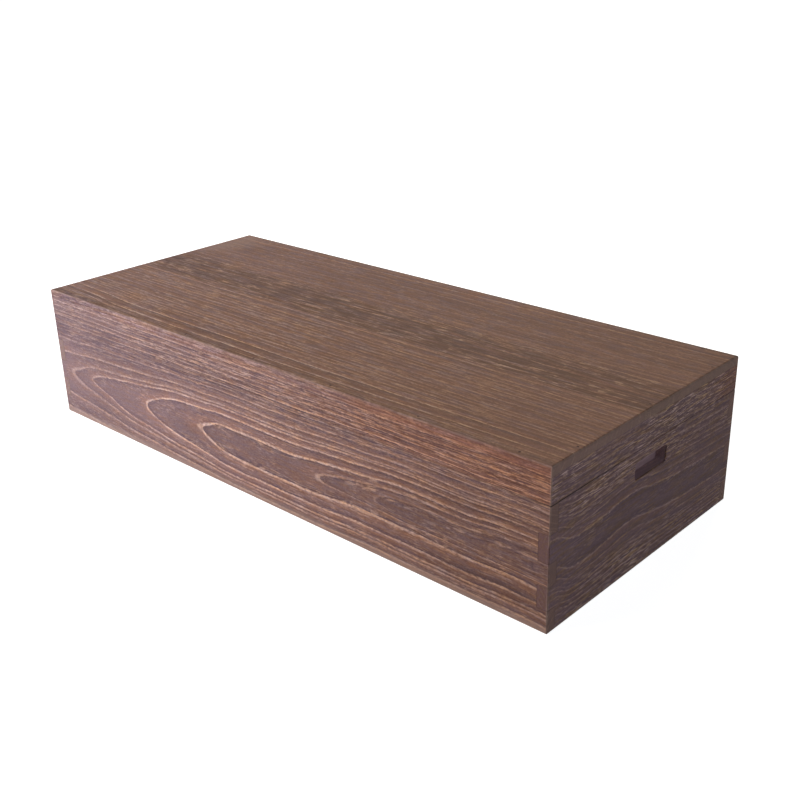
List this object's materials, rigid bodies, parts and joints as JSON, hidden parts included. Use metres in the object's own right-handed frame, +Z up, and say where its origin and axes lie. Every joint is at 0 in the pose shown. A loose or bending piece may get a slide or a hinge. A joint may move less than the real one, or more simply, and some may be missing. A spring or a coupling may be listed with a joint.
{
  "type": "kimono storage box",
  "caption": "Long low wooden box with comb-jointed corners, a hand hole in each end, an inner lip above the rim and a flush lid that lifts off.",
  "frame": {"origin": "middle of the underside, on the surface that the box stands on", "axes": "+X to the right along the length, +Y to the back, +Z up; the lid is closed at rest"},
  "size_m": [0.91, 0.388, 0.1975],
  "materials": {
    "charred_wood": "charred, brushed along the grain and waxed",
    "bare_wood": "bare, planed",
    "peg_wood": "end grain of small wooden pegs"
  },
  "bodies": {
    "box": {"front_board": "charred_wood", "back_board": "charred_wood", "left_end_board": "charred_wood", "right_end_board": "charred_wood", "bottom_stave_front": "bare_wood", "bottom_stave_middle": "bare_wood", "bottom_stave_back": "bare_wood", "lip_front": "bare_wood", "lip_back": "bare_wood", "lip_left": "bare_wood", "lip_right": "bare_wood", "lip_pegs": "peg_wood"},
    "lid": {"lid_stave_front": "charred_wood", "lid_stave_middle": "charred_wood", "lid_stave_back": "charred_wood", "lid_rail_front": "charred_wood", "lid_rail_back": "charred_wood", "lid_rail_left": "charred_wood", "lid_rail_right": "charred_wood", "lid_pegs": "peg_wood"}
  },
  "joints": [
    {"name": "lid_lift", "type": "slide", "parent": "box", "child": "lid", "axis": [0, 0, 1], "range_m": [0, 0.25]}
  ]
}
